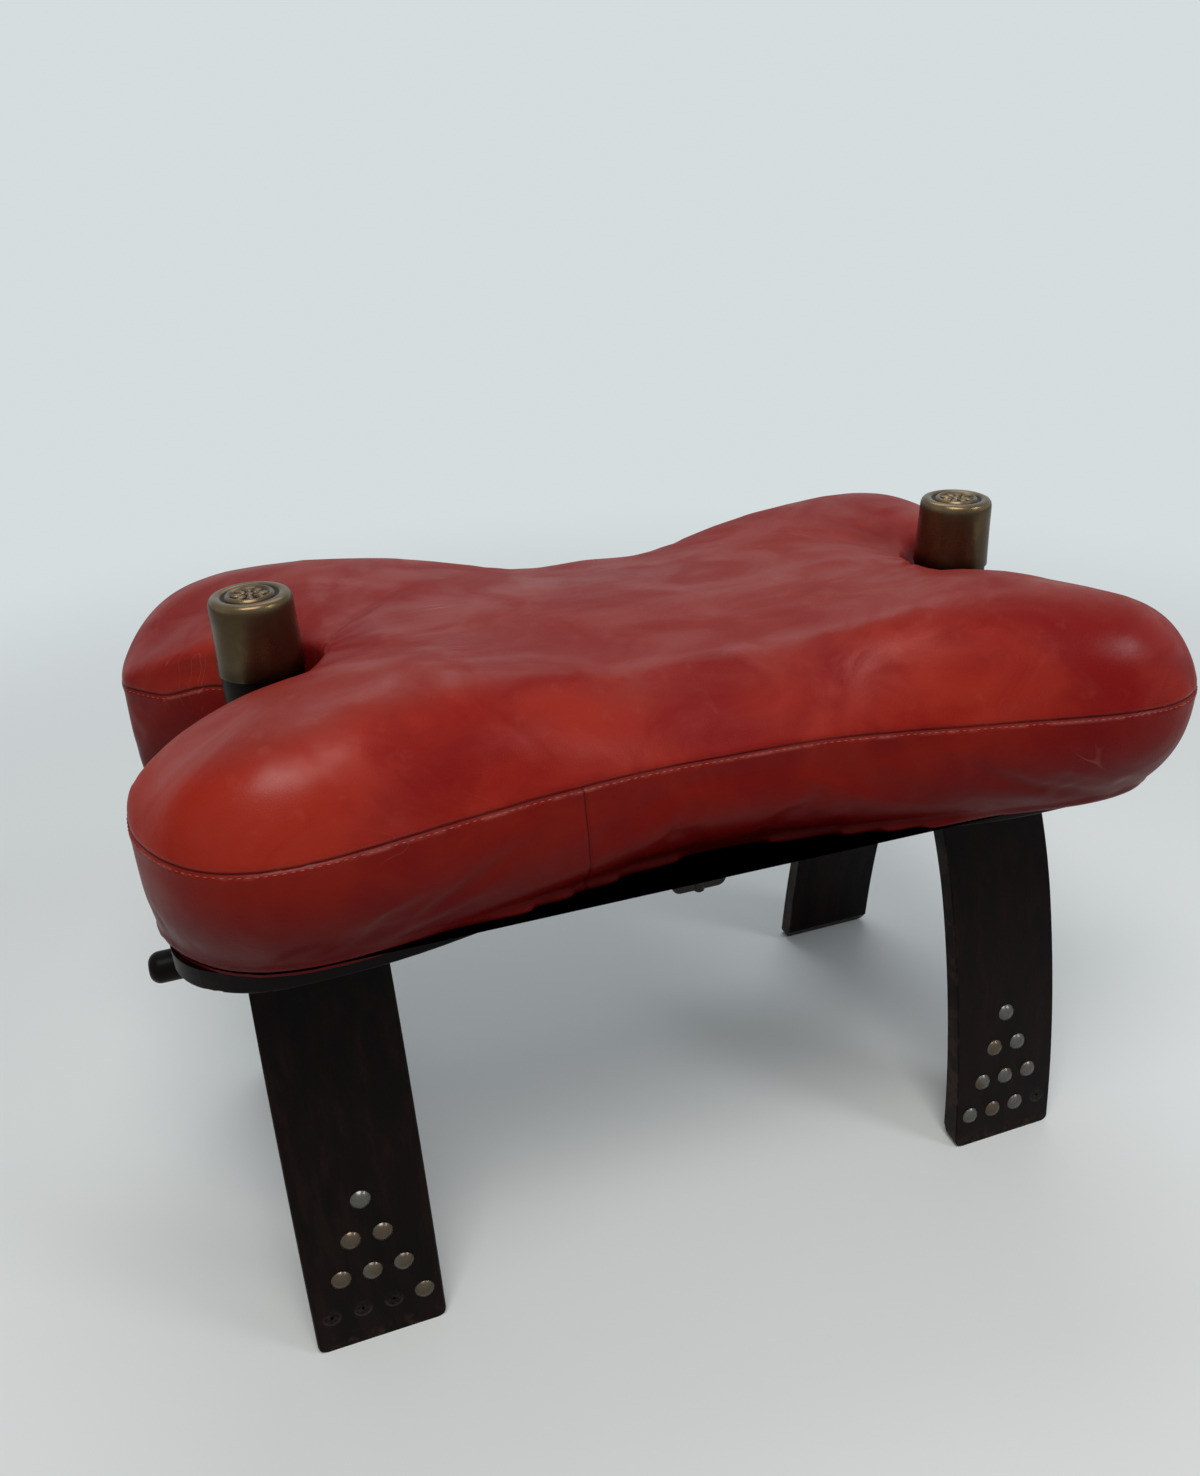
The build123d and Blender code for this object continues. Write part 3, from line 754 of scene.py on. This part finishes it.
cover = makeCushion()
shapeCushion(cover)
seamCuts(cover)
cover.data.materials.clear()
cover.data.materials.append(leather)
chooseOnly(cover)
bpy.ops.object.shade_smooth()
stitchRow = makeStitches(cover)
hem = makeHem(cover)
for field in ("seamGap", "bandGap"):
    addField(hem, field, np.full(len(hem.data.vertices), -0.05))
print("cushion finished,", len(cover.data.polygons), "faces")


capShape = {
    "segments": 96,
    "profile": (  # radius and height up the cap, mm
        (26.30, 455.0), (26.35, 450.3), (26.9, 450.0), (27.45, 450.2), (27.5, 450.9), (27.28, 453.5),
        (26.95, 462.0), (26.5, 474.0), (26.2, 486.0), (26.05, 493.0), (25.85, 495.6), (25.2, 497.8),
        (24.1, 499.2), (22.6, 499.9), (20.6, 500.05), (18.9, 499.7), (17.9, 498.9), (17.1, 498.4),
        (16.3, 498.4), (15.6, 498.9), (15.1, 499.8), (14.3, 500.5), (13.3, 500.6), (12.4, 500.0),
        (11.6, 499.2), (9.0, 498.9), (5.5, 498.9), (2.5, 499.0), (0.6, 499.1),
    ),
    "petals": 8,
    "petalReach": 0.0077,
    "petalSize": (0.0043, 0.0023, 0.0016),
    "buttonSize": (0.0029, 0.0029, 0.0017),
    "topHeight": 0.4989,
}


def ringUp(centre, fromStep, toStep):  # draws the open rim on to the next radius and height
    climb = (toStep[1] - fromStep[1]) / 1000
    bpy.ops.mesh.extrude_edges_move(TRANSFORM_OT_translate={"value": (0, 0, climb)})
    share = toStep[0] / fromStep[0]
    bpy.ops.transform.resize(value=(share, share, 1), center_override=(centre, 0, toStep[1] / 1000))


def makeCap(name, centre):
    look = capShape
    profile = look["profile"]
    bpy.ops.object.select_all(action="DESELECT")
    bpy.ops.mesh.primitive_circle_add(
        vertices=look["segments"], radius=profile[0][0] / 1000, location=(centre, 0, profile[0][1] / 1000)
    )
    cap = bpy.context.active_object
    cap.name = name
    bpy.ops.object.mode_set(mode="EDIT")
    bpy.ops.mesh.select_mode(type="EDGE")
    bpy.ops.mesh.select_all(action="SELECT")
    for fromStep, toStep in zip(profile, profile[1:]):
        ringUp(centre, fromStep, toStep)
    bpy.ops.mesh.edge_face_add()
    bpy.ops.mesh.select_all(action="SELECT")
    bpy.ops.mesh.normals_make_consistent(inside=False)
    bpy.ops.object.mode_set(mode="OBJECT")
    parts = [cap]
    for number in range(look["petals"] + 1):
        button = number == look["petals"]
        angle = 2 * math.pi * number / look["petals"]
        reach = 0 if button else look["petalReach"]
        at = (centre + reach * math.cos(angle), reach * math.sin(angle), look["topHeight"])
        bpy.ops.object.select_all(action="DESELECT")
        bpy.ops.mesh.primitive_uv_sphere_add(segments=24, ring_count=12, radius=1, location=at)
        petal = bpy.context.active_object
        bpy.ops.object.mode_set(mode="EDIT")
        bpy.ops.mesh.select_all(action="SELECT")
        size = look["buttonSize"] if button else look["petalSize"]
        bpy.ops.transform.resize(value=size, center_override=at)
        bpy.ops.object.mode_set(mode="OBJECT")
        settle(petal)
        if not button:
            back = Matrix.Translation([-c for c in at])
            petal.data.transform(Matrix.Translation(at) @ Matrix.Rotation(angle, 4, "Z") @ back)
        parts.append(petal)
    settle(cap)
    bpy.ops.object.select_all(action="DESELECT")
    for piece in parts:
        piece.select_set(True)
    bpy.context.view_layer.objects.active = cap
    bpy.ops.object.join()
    where = points(cap)
    radius = np.hypot(where[:, 0] - centre, where[:, 1]) * 1000
    hollow = np.clip((499.6 - where[:, 2] * 1000) / 0.8, 0, 1) * (radius < 19.4)
    addField(cap, "cavity", hollow)
    cap.data.materials.append(brass)
    chooseOnly(cap)
    bpy.ops.object.shade_smooth_by_angle(angle=math.radians(35))
    return cap


caps = {}
for endName, sign in (("left", -1), ("right", 1)):
    caps[endName] = makeCap("brassCap_" + endName, sign * cushionShape["postX"])
print("brass caps finished")

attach(cover, "cushion")
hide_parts("cushion_filling", "cushion_top_leather")
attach(hem, "cushion")
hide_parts("cushion_band_leather")
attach(stitchRow, "cushion")
for endName, cap in caps.items():
    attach(cap, "frame")
    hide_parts("cap_" + endName)

studio = {
    "floorColour": rgb(0.81, 0.83, 0.83),
    "backColour": rgb(0.67, 0.72, 0.735),
    "lamps": (  # name, place, target, size, power, colour
        ("keyLamp", (-0.35, -0.85, 2.1), (0, 0, 0.35), (1.1, 0.8), 22.0, (1.0, 0.97, 0.93)),
        ("sideLamp", (1.4, -1.2, 1.65), (0.2, -0.2, 0.43), (0.5, 0.3), 7.0, (0.95, 0.96, 1.0)),
        ("topLamp", (0.3, 0.9, 2.1), (0, 0, 0.35), (1.6, 1.0), 11.0, (0.93, 0.97, 1.0)),
    ),
    "worldLight": 0.38,
    "fade": (0.6, 1.9),  # the floor melts into the backdrop between these distances
}


def makeFloor():
    bpy.ops.object.select_all(action="DESELECT")
    bpy.ops.mesh.primitive_plane_add(size=160, location=(0, 0, 0))
    floor = bpy.context.active_object
    floor.name = "floor"
    material, root, shader = newMaterial("paleFloor", {"Specular IOR Level": 0.15})
    spot = place(root)
    shade = cloud(spot, 2.2, 3.0)
    colour = blendColour(shade, studio["floorColour"], rgb(0.85, 0.87, 0.87))
    feed(shader, root, Base_Color=colour, Roughness=shade * 0.1 + 0.75)
    x, y, z = axes(spot)
    far = root.calc("SQRT", x * x + y * y)
    seen = root.node("ShaderNodeLightPath", {}, {}, "Is Camera Ray")
    values = {"Color": studio["backColour"], "Strength": 1.0}
    backdrop = root.node("ShaderNodeEmission", {}, values, "Emission")
    surface = Wire(root.tree, shader.outputs[0])
    share = step(far, *studio["fade"]) * seen
    melt = root.node("ShaderNodeMixShader", {}, {0: share, 1: surface, 2: backdrop})
    root.tree.links.new(melt.out, root.tree.nodes["Material Output"].inputs["Surface"])
    floor.data.materials.append(material)
    settle(floor)


def addArea(name, spot, target, size, power, colour):
    bpy.ops.object.light_add(type="AREA", location=spot)
    lamp = bpy.context.active_object
    lamp.name = name
    lamp.data.shape = "RECTANGLE"
    lamp.data.size, lamp.data.size_y = size
    lamp.data.energy = power
    lamp.data.color = colour
    lamp.rotation_euler = (Vector(target) - Vector(spot)).to_track_quat("-Z", "Y").to_euler()


def makeWorld():
    world = bpy.data.worlds.new("studioWorld")
    bpy.context.scene.world = world
    world.use_nodes = True
    tree = world.node_tree
    tree.nodes.clear()
    root = Wire(tree)
    seen = root.node("ShaderNodeLightPath", {}, {}, "Is Camera Ray")
    mirrored = root.node("ShaderNodeLightPath", {}, {}, "Is Glossy Ray")
    through = root.node("ShaderNodeLightPath", {}, {}, "Is Transmission Ray")
    shown = seen.calc("MAXIMUM", seen, mirrored.calc("MAXIMUM", mirrored, through))
    strength = shown * (1.0 - studio["worldLight"]) + studio["worldLight"]
    values = {"Color": studio["backColour"], "Strength": strength}
    back = root.node("ShaderNodeBackground", {}, values, "Background")
    out = tree.nodes.new("ShaderNodeOutputWorld")
    tree.links.new(back.out, out.inputs["Surface"])


viewpoint = {
    "place": (-0.2615, -0.7076, 0.7382),
    "yaw": 18.42,
    "pitch": 26.32,
    "roll": -1.88,
    "focal": 1134.2,  # pixels, as are the next three
    "tall": 1476,
    "middle": (600, 738),
    "centre": (606.1, 717.1),
    "sensor": 36.0,
}


def makeCamera():
    look = viewpoint
    yaw, pitch, roll = (math.radians(look[k]) for k in ("yaw", "pitch", "roll"))
    ahead = math.cos(pitch)
    forward = Vector((math.sin(yaw) * ahead, math.cos(yaw) * ahead, -math.sin(pitch)))
    level = Vector((math.cos(yaw), -math.sin(yaw), 0))
    upright = level.cross(forward)
    right = level * math.cos(roll) + upright * math.sin(roll)
    up = upright * math.cos(roll) - level * math.sin(roll)
    bpy.ops.object.camera_add(location=look["place"])
    camera = bpy.context.active_object
    camera.rotation_euler = Matrix((right, up, -forward)).transposed().to_euler()
    camera.data.sensor_width = look["sensor"]
    camera.data.lens = look["focal"] * look["sensor"] / look["tall"]
    camera.data.shift_x = -(look["centre"][0] - look["middle"][0]) / look["tall"]
    camera.data.shift_y = (look["centre"][1] - look["middle"][1]) / look["tall"]
    camera.data.clip_start = 0.02
    bpy.context.scene.camera = camera


makeFloor()
for lampRow in studio["lamps"]:
    addArea(*lampRow)
makeWorld()
makeCamera()
bpy.context.scene.view_settings.view_transform = "Standard"
print("floor, lamps and camera set")
